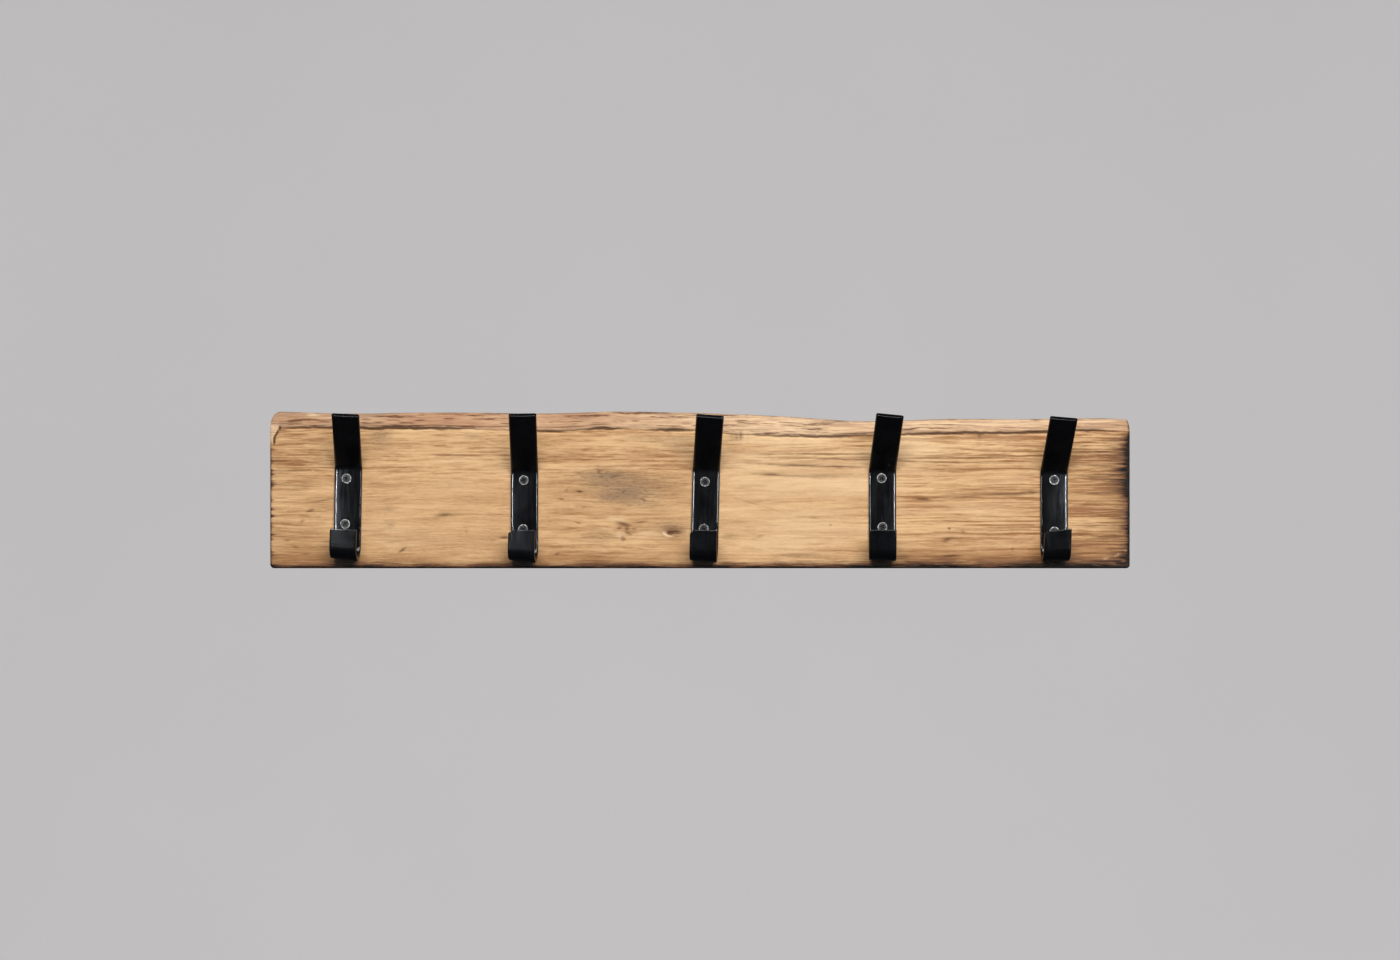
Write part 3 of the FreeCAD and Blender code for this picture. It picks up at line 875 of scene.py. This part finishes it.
def end_grain(wood, burnt):
    """Sawn ends: growth rings under saw marks, darkened where the end was scorched."""
    rings = wood.add("ShaderNodeTexWave", wave_type="RINGS", rings_direction="X")
    wood.join(wood.place((0, 1, 1)), rings.inputs["Vector"])
    rings.inputs["Scale"].default_value = 62.0
    rings.inputs["Distortion"].default_value = 2.5
    rings.inputs["Detail Scale"].default_value = 1.5
    sawn = wood.blend(rings.outputs["Fac"], (0.27, 0.15, 0.075, 1), (0.46, 0.29, 0.15, 1))
    saw_marks = wood.texture((900, 60, 900), detail=3.0)
    sawn = wood.blend(wood.span(saw_marks, 0.35, 0.7, 0.0, 0.45), sawn, (0.18, 0.10, 0.055, 1))
    return wood.blend(wood.span(burnt, 0.3, 1.1, 0.0, 0.75), sawn, (0.07, 0.038, 0.021, 1))


def obround_points(width, low, high, steps=16):
    """An upright slot's outline as (x, z), round at both ends."""
    radius = width / 2
    points = []
    for centre, start in ((low + radius, 180), (high - radius, 0)):
        for step in range(steps + 1):
            angle = math.radians(start + 180 * step / steps)
            points.append((radius * math.cos(angle), centre + radius * math.sin(angle)))
    return points


def sink(piece, outline, place, depth):
    """Cuts an upright outline into the back of the piece, to a depth."""
    points = [(place.x + x, y, place.z + z) for y in (MM, -depth) for x, z in outline]
    cut(piece, closed_tube("cutter", points, len(outline)))


def cut_hanger_pockets(piece):
    """Routes the seats of the keyhole hangers, and the pockets behind them for the wall screws' heads."""
    margin = 0.15 * MM
    pocket = obround_points(13 * MM, -10 * MM, 11 * MM)
    pocket_depth = 11 * MM
    for side in SIDES:
        low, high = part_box(f"{side}_hanger")
        middle = (low + high) / 2
        half = (high.z - low.z) / 2 + margin
        seat = obround_points(high.x - low.x + 2 * margin, -half, half)
        sink(piece, seat, middle, high.y - low.y)
        sink(piece, pocket, middle, pocket_depth)


class MakePlank(bpy.types.Operator):
    """Makes the plank, with its live edge, raised grain, knots and scorched ends"""

    bl_idname = "rack.make_plank"
    bl_label = "Plank"

    def execute(self, context):
        settings = context.scene.rack_plank
        points, values = capped(*plank_points(settings))
        piece = closed_tube("softwood_plank", points.reshape(-1, 3), points.shape[1])
        for name, grid in values.items():
            store(piece, name, grid.reshape(-1))
        cut_hanger_pockets(piece)
        smoothed(piece, 50)
        piece.data.materials.append(plank_material(settings))
        take_place(piece, "plank")
        return {"FINISHED"}


# --------------------------------------------------------------------------------------------- the hooks


class HookSettings(bpy.types.PropertyGroup):
    width: FloatProperty(name="Width", description="Width of the flat bar", default=25.4 * MM, unit="LENGTH")
    thickness: FloatProperty(
        name="Thickness", description="Thickness of the bar", default=4 * MM, unit="LENGTH"
    )
    edge_radius: FloatProperty(
        name="Edge radius", description="Rounding of the bar's long edges", default=1.5 * MM, unit="LENGTH"
    )
    edge_reach: FloatProperty(
        name="Edge reach", description="How far in the front begins to fall", default=2.9 * MM, unit="LENGTH"
    )
    crown: FloatProperty(
        name="Crown", description="How far the front bulges in the middle", default=0.32 * MM, unit="LENGTH"
    )
    arm_angle: FloatProperty(
        name="Arm angle", description="How far the arm leans out", default=math.radians(45), subtype="ANGLE"
    )
    arm_radius: FloatProperty(
        name="Arm bend", description="Bend radius of the arm", default=7 * MM, unit="LENGTH"
    )
    lip_radius: FloatProperty(
        name="Lip bend", description="Bend radius of the lip", default=10.5 * MM, unit="LENGTH"
    )
    lip_flare: FloatProperty(
        name="Lip flare", description="How far the lip leans out", default=math.radians(5), subtype="ANGLE"
    )
    corner: FloatProperty(
        name="Tip corner", description="Rounding of the cut ends' corners", default=0.7 * MM, unit="LENGTH"
    )
    paint: FloatVectorProperty(
        name="Paint", description="Colour of the paint", default=(0.0022, 0.0024, 0.0032), subtype="COLOR"
    )
    steel: FloatVectorProperty(
        name="Bare steel", description="Colour of rubbed spots", default=(0.42, 0.40, 0.38), subtype="COLOR"
    )


def screw_centre(number, end):
    low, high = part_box(f"hook_{number}_{end}_screw")
    return Vector(((low.x + high.x) / 2, low.y, (low.z + high.z) / 2))


def hook_place(number, hook):
    """Where the frame's screws put a hook: the matrix from its own origin and axes to the rack's."""
    upper = Vector((hook.upper_screw[0], 0, hook.upper_screw[1])) * MM
    lower = Vector((hook.lower_screw[0], 0, hook.lower_screw[1])) * MM
    drawn = upper - lower
    fixed = screw_centre(number, "upper") - screw_centre(number, "lower")
    turn = Matrix.Rotation(math.atan2(fixed.x, fixed.z) - math.atan2(drawn.x, drawn.z), 4, "Y")
    origin = screw_centre(number, "upper") - turn @ upper
    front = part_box("plank")[0].y
    return Matrix.Translation((origin.x, front, origin.z)) @ turn


def bar_outline(settings):
    """Points round the bar's section as (across, forward), from the back's left round to its front."""
    half = settings.width / 2
    sharp = settings.edge_radius
    soft = settings.edge_reach
    thick = settings.thickness
    shoulder = thick - settings.crown
    turns = [math.radians(turn) for turn in np.linspace(0, 90, 8)]
    right = [(half - sharp + sharp * math.sin(t), sharp - sharp * math.cos(t)) for t in turns]
    right += [(half - soft + soft * math.cos(t), shoulder - sharp + sharp * math.sin(t)) for t in turns]
    shares = np.linspace(1, -1, 14)
    crown = [(share * (half - soft), shoulder + settings.crown * (1 - share**2)) for share in shares]
    left = [(-across, forward) for across, forward in reversed(right)]
    back = [(share * (half - sharp), 0.0) for share in np.linspace(-1, 1, 8)[1:-1]]
    return np.array(back + right + crown[1:-1] + left)


def bend_matrix(start, towards, radius, angle, skew, tilt=0.0):
    """The turn that carries the bar forward from a start in its middle, about a skewed and tilted axis."""
    forward = Vector((math.sin(skew), -math.cos(skew), 0))
    along = Vector((0, 0, towards))
    axis = Matrix.Rotation(tilt, 3, "Y") @ along.cross(forward)
    centre = start + forward * radius
    turn = Matrix.Rotation(angle, 4, axis)
    return Matrix.Translation(centre) @ turn @ Matrix.Translation(-centre)


def hook_sections(settings, hook):
    """Matrices that place the bar's section along the hook, arm tip to lip tip, with how far each tip is."""
    arm_skew = math.radians(hook.arm_skew)
    lip_skew = math.radians(hook.lip_skew)
    tilt = math.radians(hook.lip_lean) / 2
    half_thick = settings.thickness / 2
    arm_start = hook.arm_bend * MM
    lip_start = hook.bottom * MM + settings.lip_radius + half_thick
    lip_angle = math.pi - settings.lip_flare
    rise = settings.arm_radius * math.sin(settings.arm_angle)
    arm_end = hook.arm_tip * MM - half_thick * math.sin(settings.arm_angle)
    arm_run = (arm_end - arm_start - rise) / math.cos(settings.arm_angle)
    dip = settings.lip_radius * math.sin(settings.lip_flare)
    lip_end = hook.lip_tip * MM - half_thick * math.sin(settings.lip_flare)
    lip_run = (lip_end - lip_start + dip) / math.cos(settings.lip_flare)
    tip = tip_steps(settings)

    def arm(angle, run):
        start = Vector((0, -half_thick, arm_start))
        turn = bend_matrix(start, 1, settings.arm_radius, angle, arm_skew)
        return turn @ Matrix.Translation((0, 0, arm_start + run))

    def lip(angle, run):
        start = Vector((0, -half_thick, lip_start))
        turn = bend_matrix(start, -1, settings.lip_radius, angle, lip_skew, tilt)
        return turn @ Matrix.Translation((0, 0, lip_start - run))

    sections = []
    for run in [*(arm_run - t for t in tip), *np.linspace(arm_run - tip[-1], 0, 27)[1:-1]]:
        sections.append((arm(settings.arm_angle, run), arm_run - run, "arm"))
    for angle in np.linspace(settings.arm_angle, 0, 12):
        sections.append((arm(angle, 0), 1.0, "bend"))
    for height in np.linspace(arm_start, lip_start, 42)[1:-1]:
        sections.append((Matrix.Translation((0, 0, height)), 1.0, "plate"))
    for angle in np.linspace(0, lip_angle, 34):
        sections.append((lip(angle, 0), 1.0, "bend"))
    for run in [*np.linspace(0, lip_run - tip[-1], 14)[1:-1], *(lip_run - t for t in reversed(tip))]:
        sections.append((lip(lip_angle, run), lip_run - run, "lip"))
    return sections


def tip_steps(settings):
    """Distances back from a cut end at which its rounded corners need a section."""
    return [settings.corner * step for step in (0, 0.1, 0.25, 0.5, 0.8, 1.0, 1.7, 2.8, 4.2, 6.0)]


def tip_scale(half, corner, from_tip):
    """How much half of the section's width or thickness shrinks near a cut end with rounded corners."""
    gone = max(corner - from_tip, 0)
    return (half - corner + math.sqrt(corner**2 - gone**2)) / half


def cut_drop(across, half, fall, chip):
    """How far a cut end falls short at each point across it: a slope, and a clipped left corner."""
    share = (half - across) / (2 * half)
    sloped = max(fall, 0) * share + max(-fall, 0) * (1 - share)
    reach = chip * MM * 1.1
    clipped = max(0.0, 1 - (across + half) / reach) ** 1.2
    return sloped * MM + chip * MM * clipped


def hook_mesh(number, settings):
    """One bent bar before its holes are cut, in the rack's own axes, with its wear field."""
    hook = HOOKS[number - 1]
    place = hook_place(number, hook)
    outline = bar_outline(settings)
    half = settings.width / 2
    middle = settings.thickness / 2
    edge = 0.35 * MM
    points = []
    wear = []
    fade = 9 * MM
    for index, (matrix, from_tip, zone) in enumerate(hook_sections(settings, hook)):
        across_scale = tip_scale(half, settings.corner, from_tip)
        through_scale = tip_scale(middle, edge, from_tip)
        for across, forward in outline:
            depth = middle + (forward - middle) * through_scale
            shift = 0.0
            if zone in ("arm", "lip") and from_tip < fade:
                fall, chip = (hook.arm_fall, 0.3) if zone == "arm" else (hook.lip_fall, hook.lip_chip)
                shift = cut_drop(across, half, fall, chip) * (1 - from_tip / fade)
            wobble = 0.035 * MM * noise(np.float64(index / 9), np.float64(across / (9 * MM)), 140 + number)
            local = Vector((across * across_scale, -depth - wobble * (forward > middle), 0))
            local.z = shift * (-1 if zone == "arm" else 1)
            points.append(place @ matrix @ local)
            near_tip = math.exp(-from_tip / (0.8 * MM))
            near_edge = math.exp(-(half - abs(across)) / (1.0 * MM))
            chipped = 0.9 if across < 0 and zone == "lip" and hook.lip_chip > 1 else 0.2
            wear.append(min(1.0, 0.28 * near_tip + 0.2 * near_edge + near_tip * near_edge * chipped))
    return closed_tube(f"bent_hook_{number}", points, len(outline)), np.array(wear)


def turned(name, profile, steps, place):
    """A solid of revolution about +Y from (radius, y) points, closed on the axis at both ends."""
    points = []
    for radius, y in profile:
        for step in range(steps):
            angle = 2 * math.pi * step / steps
            points.append(place @ Vector((radius * math.cos(angle), y, radius * math.sin(angle))))
    return closed_tube(name, points, steps)


def drill(piece, number, settings):
    """Cuts the two countersunk screw holes, each with a slight bevel at its mouth."""
    head = 4.5 * MM
    hole = 2.45 * MM
    flat = 0.35 * MM
    mouth = head + 0.3 * MM
    profile = [
        (mouth, -2 * MM),
        (mouth, -0.2 * MM),
        (head, 0.1 * MM),
        (head, flat),
        (hole, flat + head - hole),
        (hole, 2 * settings.thickness),
    ]
    for end in ENDS:
        cut(piece, turned("cutter", profile, 48, Matrix.Translation(screw_centre(number, end))))


def cut(piece, cutter):
    """Takes the cutter out of the piece, and removes the cutter."""
    hole = piece.modifiers.new("hole", "BOOLEAN")
    hole.operation = "DIFFERENCE"
    hole.solver = "EXACT"
    hole.object = cutter
    applied(piece)
    bpy.data.objects.remove(cutter)


def applied(piece):
    """Turns a piece's modifiers into its own mesh."""
    graph = bpy.context.evaluated_depsgraph_get()
    graph.update()
    mesh = bpy.data.meshes.new_from_object(piece.evaluated_get(graph))
    old = piece.data
    piece.modifiers.clear()
    piece.data = mesh
    bpy.data.meshes.remove(old)


def carried(points, values, piece):
    """Each vertex of the piece takes the value of the nearest of the points."""
    tree = KDTree(len(points))
    for index, point in enumerate(points):
        tree.insert(point, index)
    tree.balance()
    return [values[tree.find(v.co)[1]] for v in piece.data.vertices]


def paint_material(settings):
    """Satin black paint over steel: dust, brush texture and rubbed edges."""
    paint = Nodes("satin_black_paint")
    grit = paint.texture((900, 900, 900), detail=2.0)
    mottle = paint.texture((70, 70, 45), detail=4.0, roughness=0.6)
    smear = paint.texture((500, 500, 40), detail=3.0)
    dust = paint.span(paint.texture((2600, 2600, 2600), detail=1.0), 0.66, 0.74)
    worn = paint.plus(paint.field("wear"), paint.times(paint.minus(grit, 0.5), 1.3))
    bare = paint.span(worn, 0.86, 0.98)
    tone = paint.blend(paint.span(mottle, 0.35, 0.7), colour(settings.paint), (0.004, 0.0046, 0.0062, 1))
    tone = paint.blend(paint.times(dust, 0.35), tone, (0.06, 0.06, 0.065, 1))
    rubbed = paint.blend(paint.span(worn, 0.6, 0.9, 0.0, 0.6), tone, (0.022, 0.021, 0.021, 1))
    base = paint.blend(bare, rubbed, colour(settings.steel))
    smeared = paint.span(smear, 0.3, 0.7, -0.03, 0.05)
    roughness = paint.plus(paint.span(mottle, 0.3, 0.7, 0.14, 0.20), smeared)
    height = paint.plus(paint.times(grit, 0.5), paint.times(mottle, 1.2))
    paint.relief(height, 0.05 * MM, 0.5)
    paint.shade(Base_Color=base, Roughness=roughness, Metallic=bare)
    paint.surface.inputs["Specular IOR Level"].default_value = 0.5
    return paint.material


class MakeHooks(bpy.types.Operator):
    """Makes the five hooks, each bent from one length of flat bar"""

    bl_idname = "rack.make_hooks"
    bl_label = "Hooks"

    def execute(self, context):
        settings = context.scene.rack_hooks
        material = paint_material(settings)
        for number in range(1, len(HOOKS) + 1):
            piece, wear = hook_mesh(number, settings)
            points = [v.co.copy() for v in piece.data.vertices]
            drill(piece, number, settings)
            store(piece, "wear", carried(points, wear, piece))
            smoothed(piece, 40)
            piece.data.materials.clear()
            piece.data.materials.append(material)
            take_place(piece, f"hook_{number}")
        return {"FINISHED"}


# ------------------------------------------------------------------------------------ screws and hangers


class FittingSettings(bpy.types.PropertyGroup):
    head_steel: FloatVectorProperty(
        name="Screw steel", description="Colour of the screws", default=(0.035, 0.034, 0.033), subtype="COLOR"
    )
    zinc: FloatVectorProperty(
        name="Zinc", description="Colour of the hangers", default=(0.55, 0.56, 0.58), subtype="COLOR"
    )


def zinc_material(tint):
    """The hangers' zinc plate: finely scratched, and dulled in patches."""
    zinc = Nodes("dull_zinc")
    blotch = zinc.texture((260, 260, 260), detail=4.0, roughness=0.6)
    scratch = zinc.texture((1800, 300, 300), detail=2.0)
    base = zinc.blend(zinc.span(blotch, 0.38, 0.68), colour(tint), (0.33, 0.34, 0.35, 1))
    zinc.relief(zinc.plus(blotch, zinc.times(scratch, 0.5)), 0.04 * MM, 0.5)
    zinc.shade(Base_Color=base, Metallic=1.0, Roughness=zinc.span(blotch, 0.3, 0.7, 0.34, 0.56))
    return zinc.material


def screw_material(tint):
    """A screw's steel: a bright head rim, partly rubbed steel and partly painted highlight, and painted shade
    in the cross recess.
    """
    steel = Nodes("worn_screw_steel_with_painted_light")
    across = steel.add("ShaderNodeSeparateXYZ")
    steel.join(steel.add("ShaderNodeTexCoord").outputs["Generated"], across.inputs[0])
    side = steel.minus(across.outputs["X"], 0.5)
    rise = steel.minus(across.outputs["Z"], 0.5)
    square = steel.plus(steel.times(side, side), steel.times(rise, rise))
    reach = steel.times(steel.math("SQRT", square), 2.0)
    blotch = steel.texture((700, 700, 700), detail=4.0, roughness=0.6)
    # The bright rim is partly rubbed steel and partly a painted highlight ring.
    rim = steel.times(steel.span(reach, 0.85, 0.97), steel.span(blotch, 0.40, 0.6, 0.15, 1.0))
    # Painted shade in the cross recess, below the head's face and inside its rim.
    recess_shade = steel.times(steel.span(across.outputs["Y"], 0.003, 0.012), steel.span(reach, 0.75, 0.6))
    base = steel.blend(steel.span(blotch, 0.35, 0.7), colour(tint), (0.015, 0.0145, 0.014, 1))
    # Painted highlight on the rim, mixed with rubbed steel.
    base = steel.blend(rim, base, (0.70, 0.69, 0.67, 1))
    # Painted shade darkens the recess.
    base = steel.blend(recess_shade, base, (0.012, 0.012, 0.012, 1))
    steel.relief(blotch, 0.05 * MM, 0.6)
    steel.shade(Base_Color=base, Metallic=0.55, Roughness=steel.span(blotch, 0.3, 0.7, 0.4, 0.55))
    return steel.material


class FinishFittings(bpy.types.Operator):
    """Gives the screws and the hangers their finish"""

    bl_idname = "rack.finish_fittings"
    bl_label = "Screws and hangers"

    def execute(self, context):
        settings = context.scene.rack_fittings
        steel = screw_material(settings.head_steel)
        zinc = zinc_material(settings.zinc)
        for name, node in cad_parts.items():
            if name.startswith("hook_") and name.endswith("_screw"):
                dress(node, steel)
            if "hanger" in name:
                dress(node, zinc)
        return {"FINISHED"}


def dress(node, material):
    for slot in node.material_slots:
        slot.material = material


# --------------------------------------------------------------------------------------------- the stage


class StageSettings(bpy.types.PropertyGroup):
    distance: FloatProperty(
        name="Distance", description="Camera to the plank's front", default=2.8, unit="LENGTH"
    )
    frame_width: FloatProperty(
        name="View width", description="Width seen at the plank", default=1.302, unit="LENGTH"
    )
    eye_height: FloatProperty(
        name="Eye height", description="Camera over the origin", default=9.3 * MM, unit="LENGTH"
    )
    floor_drop: FloatProperty(
        name="Floor drop", description="Floor under the origin", default=1.5, unit="LENGTH"
    )
    room_radius: FloatProperty(
        name="Room", description="Radius of the round backdrop", default=4.6, unit="LENGTH"
    )
    paper: FloatVectorProperty(
        name="Paper", description="Colour of floor and backdrop", default=(0.74, 0.725, 0.73), subtype="COLOR"
    )
    glow: FloatProperty(name="Paper glow", description="Light from behind the paper", default=0.44)


def add_light(name, place, target, width, height, power, tint=(1, 1, 1)):
    """A soft rectangular light that faces a point."""
    light = bpy.data.lights.new(name, "AREA")
    light.shape = "RECTANGLE"
    light.size = width
    light.size_y = height
    light.energy = power
    light.color = tint
    lamp = bpy.data.objects.new(name, light)
    lamp.location = place
    lamp.rotation_euler = (Vector(target) - Vector(place)).to_track_quat("-Z", "Y").to_euler()
    lamp.visible_camera = False
    bpy.context.scene.collection.objects.link(lamp)
    return lamp


def backdrop_material(tint, glow):
    """Pale matt paper."""
    paper = Nodes("pale_paper")
    patch = paper.texture((2.0, 2.0, 2.0), detail=4.0)
    base = paper.blend(paper.span(patch, 0.3, 0.7), colour(tint), tuple(0.97 * c for c in tint) + (1,))
    paper.shade(Base_Color=base, Roughness=0.9, Emission_Color=colour(tint), Emission_Strength=glow)
    return paper.material


def round_backdrop(settings):
    """A pale floor that sweeps up all round into a plain backdrop."""
    floor = -settings.floor_drop
    radius = settings.room_radius
    sweep = settings.floor_drop
    sweep_steps = 16
    profile = [(10 * MM, floor), (radius * 0.5, floor)]
    for step in range(sweep_steps + 1):
        angle = math.pi / 2 * step / sweep_steps
        profile.append((radius - sweep + sweep * math.sin(angle), floor + sweep * (1 - math.cos(angle))))
    profile.append((radius, settings.floor_drop * 3))
    steps = 96
    points = []
    for reach, height in profile:
        for step in range(steps):
            angle = 2 * math.pi * step / steps
            points.append((reach * math.cos(angle), reach * math.sin(angle), height))
    faces = tube_faces(len(profile), steps)
    faces.append(tuple(range(steps - 1, -1, -1)))
    room = new_object("room", points, faces)
    smoothed(room)
    room.data.materials.append(backdrop_material(settings.paper, settings.glow))
    room.visible_diffuse = False
    room.visible_glossy = False
    room.visible_shadow = False


def set_lights():
    """A large panel overhead in front and one behind, and on each side a panel and a narrow strip.

    The strips are seen only in reflections, and the side panels never are.
    """
    cool = (0.88, 0.94, 1.0)
    warm = (1.0, 0.985, 0.965)
    for side in (-1, 1):
        strip = add_light("strip", (1.35 * side, -1.95, 0.22), (0.32 * side, 0, 0), 0.11, 0.5, 2.0, cool)
        strip.data.spread = math.radians(36)
        strip.visible_diffuse = False
        panel = add_light("side_panel", (2.4 * side, 0.75, 0.6), (0, 0, 0), 1.2, 1.2, 26)
        panel.visible_glossy = False
    add_light("top_panel", (0.25, -2.4, 1.45), (0.1, 0, 0), 2.6, 1.2, 106, warm)
    add_light("back_panel", (0.0, 2.3, 1.4), (0, 0, 0), 2.4, 1.4, 40)


class SetStage(bpy.types.Operator):
    """Sets the pale floor and backdrop, the soft lights and the camera"""

    bl_idname = "rack.set_stage"
    bl_label = "Stage"

    def execute(self, context):
        settings = context.scene.rack_stage
        scene = context.scene
        round_backdrop(settings)
        scene.world = bpy.data.worlds.new("soft_room")
        scene.world.use_nodes = True
        background = scene.world.node_tree.nodes["Background"]
        background.inputs["Color"].default_value = (0.86, 0.90, 1.0, 1)
        background.inputs["Strength"].default_value = 0.03
        set_lights()
        camera = bpy.data.cameras.new("camera")
        camera.sensor_width = 36
        camera.lens = camera.sensor_width * settings.distance / settings.frame_width
        viewer = bpy.data.objects.new("camera", camera)
        viewer.location = (0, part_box("plank")[0].y - settings.distance, settings.eye_height)
        viewer.rotation_euler = (math.pi / 2, 0, 0)
        scene.collection.objects.link(viewer)
        scene.camera = viewer
        scene.view_settings.view_transform = "Standard"
        scene.view_settings.look = "None"
        return {"FINISHED"}


class RackPanel(bpy.types.Panel):
    bl_label = "Hook rack"
    bl_idname = "VIEW3D_PT_hook_rack"
    bl_space_type = "VIEW_3D"
    bl_region_type = "UI"
    bl_category = "Hook rack"

    def draw(self, context):
        for group, settings, operator in PIECES:
            box = self.layout.box()
            box.operator(operator.bl_idname)
            for name in group.__annotations__:
                box.prop(getattr(context.scene, settings), name)


PIECES = (
    (PlankSettings, "rack_plank", MakePlank),
    (HookSettings, "rack_hooks", MakeHooks),
    (FittingSettings, "rack_fittings", FinishFittings),
    (StageSettings, "rack_stage", SetStage),
)


def register():
    for group, settings, operator in PIECES:
        bpy.utils.register_class(group)
        bpy.utils.register_class(operator)
        setattr(bpy.types.Scene, settings, PointerProperty(type=group))
    bpy.utils.register_class(RackPanel)


def unregister():
    bpy.utils.unregister_class(RackPanel)
    for group, settings, operator in reversed(PIECES):
        delattr(bpy.types.Scene, settings)
        bpy.utils.unregister_class(operator)
        bpy.utils.unregister_class(group)


def main():
    register()
    bpy.ops.rack.set_stage()
    bpy.ops.rack.make_plank()
    bpy.ops.rack.make_hooks()
    bpy.ops.rack.finish_fittings()


if __name__ == "__main__":
    main()
